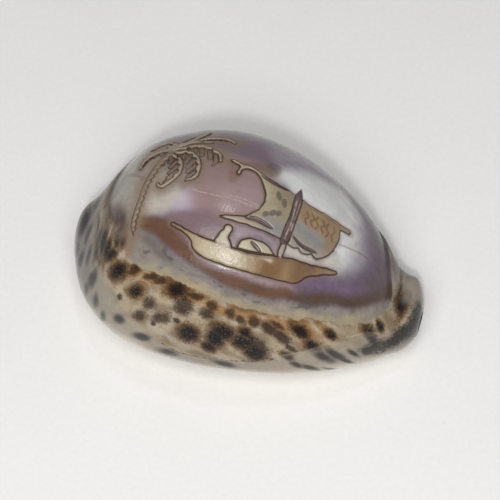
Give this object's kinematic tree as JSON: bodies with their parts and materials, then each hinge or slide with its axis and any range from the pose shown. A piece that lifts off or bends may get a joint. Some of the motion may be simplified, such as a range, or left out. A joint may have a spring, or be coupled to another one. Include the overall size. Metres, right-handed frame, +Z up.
{
  "type": "carved cowrie shell",
  "caption": "Polished hollow sea shell with a ground and carved crown, a spotted rim and a toothed slot along its flat base.",
  "frame": {"origin": "on the surface the shell stands on, under the middle of its bounding box", "axes": "+X along the shell towards its narrow front end, +Z up towards the crown, -Y towards the outer lip's side"},
  "size_m": [0.08, 0.0536, 0.0428],
  "materials": {
    "shell": "polished natural shell, porcelain gloss, purple and cream ground crown, dark spots on a cream rim"
  },
  "bodies": {
    "root": {"shell": "shell"}
  },
  "joints": []
}
